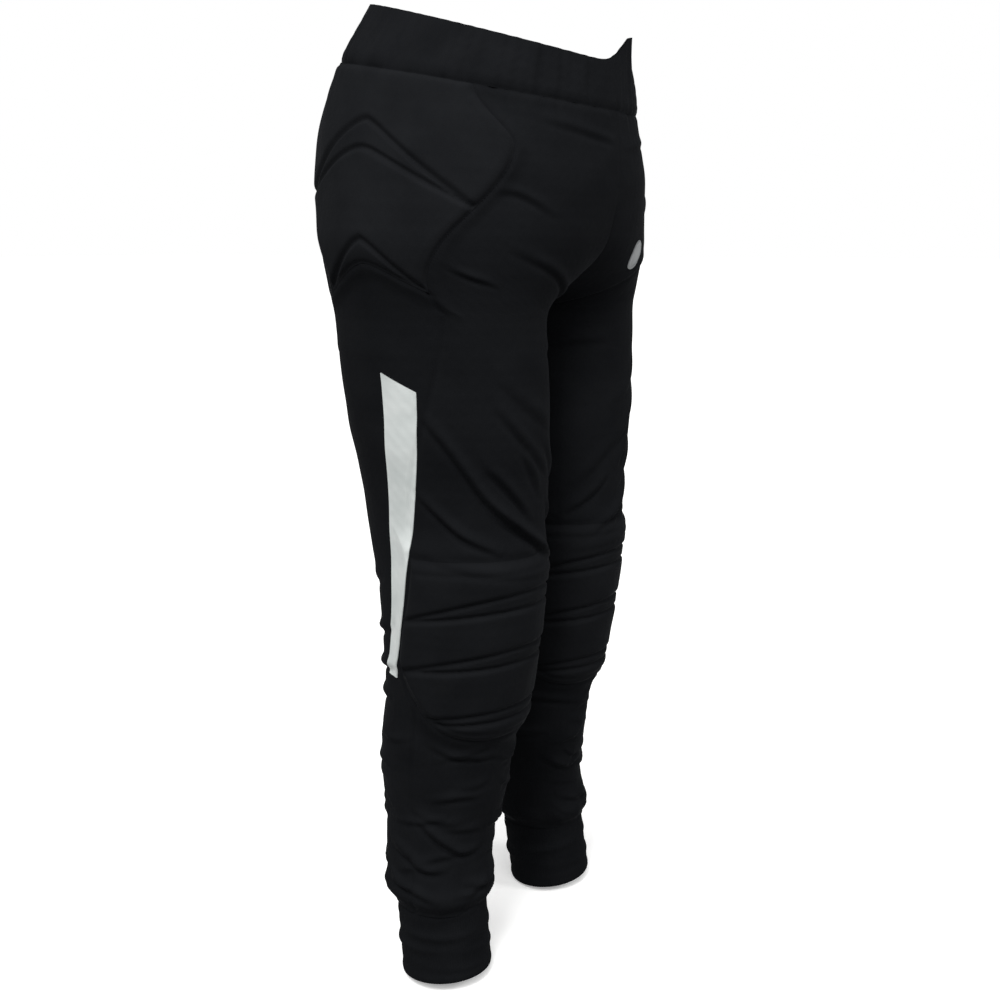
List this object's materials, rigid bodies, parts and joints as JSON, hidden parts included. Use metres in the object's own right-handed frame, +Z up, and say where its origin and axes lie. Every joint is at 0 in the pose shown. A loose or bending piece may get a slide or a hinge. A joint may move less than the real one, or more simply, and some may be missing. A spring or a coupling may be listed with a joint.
{
  "type": "padded goalkeeper trousers",
  "caption": "Full-length padded goalkeeper trousers with quilted hip and knee pads, gathered elastic waistband, side tape and ribbed ankle cuffs.",
  "frame": {"origin": "centre of the waist opening", "axes": "+Z up, the wearer faces -Y, the wearer's right leg is on the -X side"},
  "size_m": [0.4492, 0.3158, 1.0709],
  "materials": {
    "brushed_polyester_jersey": "soft brushed knit",
    "quilted_pad_cover": "tricot knit, quilted over foam",
    "ribbed_knit": "ribbed knit",
    "woven_side_tape": "smooth woven tape",
    "rubber_badge": "matt printed",
    "eva_foam": "closed-cell foam",
    "mesh_lining": "open mesh",
    "knitted_elastic": "knitted elastic"
  },
  "bodies": {
    "seat": {"waistband": "brushed_polyester_jersey", "waist_elastic": "knitted_elastic", "seat_front_right": "brushed_polyester_jersey", "seat_back_right": "brushed_polyester_jersey", "seat_side_right": "brushed_polyester_jersey", "hip_panel_right": "quilted_pad_cover", "hip_foam_upper_right": "eva_foam", "hip_foam_lower_right": "eva_foam", "hip_lining_right": "mesh_lining", "groin_front_right": "brushed_polyester_jersey", "groin_back_right": "brushed_polyester_jersey", "seat_front_left": "brushed_polyester_jersey", "seat_back_left": "brushed_polyester_jersey", "seat_side_left": "brushed_polyester_jersey", "hip_panel_left": "quilted_pad_cover", "hip_foam_upper_left": "eva_foam", "hip_foam_lower_left": "eva_foam", "hip_lining_left": "mesh_lining", "groin_front_left": "brushed_polyester_jersey", "groin_back_left": "brushed_polyester_jersey", "thigh_badge": "rubber_badge"},
    "right_thigh": {"thigh_front_right": "brushed_polyester_jersey", "thigh_back_right": "brushed_polyester_jersey", "knee_panel_upper_right": "quilted_pad_cover", "knee_foam_1_right": "eva_foam", "knee_foam_2_right": "eva_foam", "knee_lining_upper_right": "mesh_lining", "side_tape_right": "woven_side_tape", "knee_hollow_right": "brushed_polyester_jersey"},
    "right_shin": {"knee_panel_lower_right": "quilted_pad_cover", "knee_foam_3_right": "eva_foam", "knee_foam_4_right": "eva_foam", "knee_lining_lower_right": "mesh_lining", "shin_front_right": "brushed_polyester_jersey", "calf_right": "brushed_polyester_jersey", "cuff_right": "ribbed_knit", "ankle_elastic_right": "knitted_elastic"},
    "left_thigh": {"thigh_front_left": "brushed_polyester_jersey", "thigh_back_left": "brushed_polyester_jersey", "knee_panel_upper_left": "quilted_pad_cover", "knee_foam_1_left": "eva_foam", "knee_foam_2_left": "eva_foam", "knee_lining_upper_left": "mesh_lining", "side_tape_left": "woven_side_tape", "knee_hollow_left": "brushed_polyester_jersey"},
    "left_shin": {"knee_panel_lower_left": "quilted_pad_cover", "knee_foam_3_left": "eva_foam", "knee_foam_4_left": "eva_foam", "knee_lining_lower_left": "mesh_lining", "shin_front_left": "brushed_polyester_jersey", "calf_left": "brushed_polyester_jersey", "cuff_left": "ribbed_knit", "ankle_elastic_left": "knitted_elastic"}
  },
  "joints": [
    {"name": "right_hip", "type": "hinge", "parent": "seat", "child": "right_thigh", "pos_m": [-0.1, 0.015, -0.19], "axis": [-1, 0, 0], "range_deg": [-10, 60], "deforming": ["groin_front_right", "groin_back_right"]},
    {"name": "right_knee", "type": "hinge", "parent": "right_thigh", "child": "right_shin", "pos_m": [-0.095, 0.004, -0.645], "axis": [1, 0, 0], "range_deg": [0, 90], "deforming": ["knee_hollow_right"]},
    {"name": "left_hip", "type": "hinge", "parent": "seat", "child": "left_thigh", "pos_m": [0.1, 0.015, -0.19], "axis": [-1, 0, 0], "range_deg": [-10, 60], "deforming": ["groin_front_left", "groin_back_left", "thigh_badge"]},
    {"name": "left_knee", "type": "hinge", "parent": "left_thigh", "child": "left_shin", "pos_m": [0.095, 0.004, -0.645], "axis": [1, 0, 0], "range_deg": [0, 90], "deforming": ["knee_hollow_left"]}
  ]
}
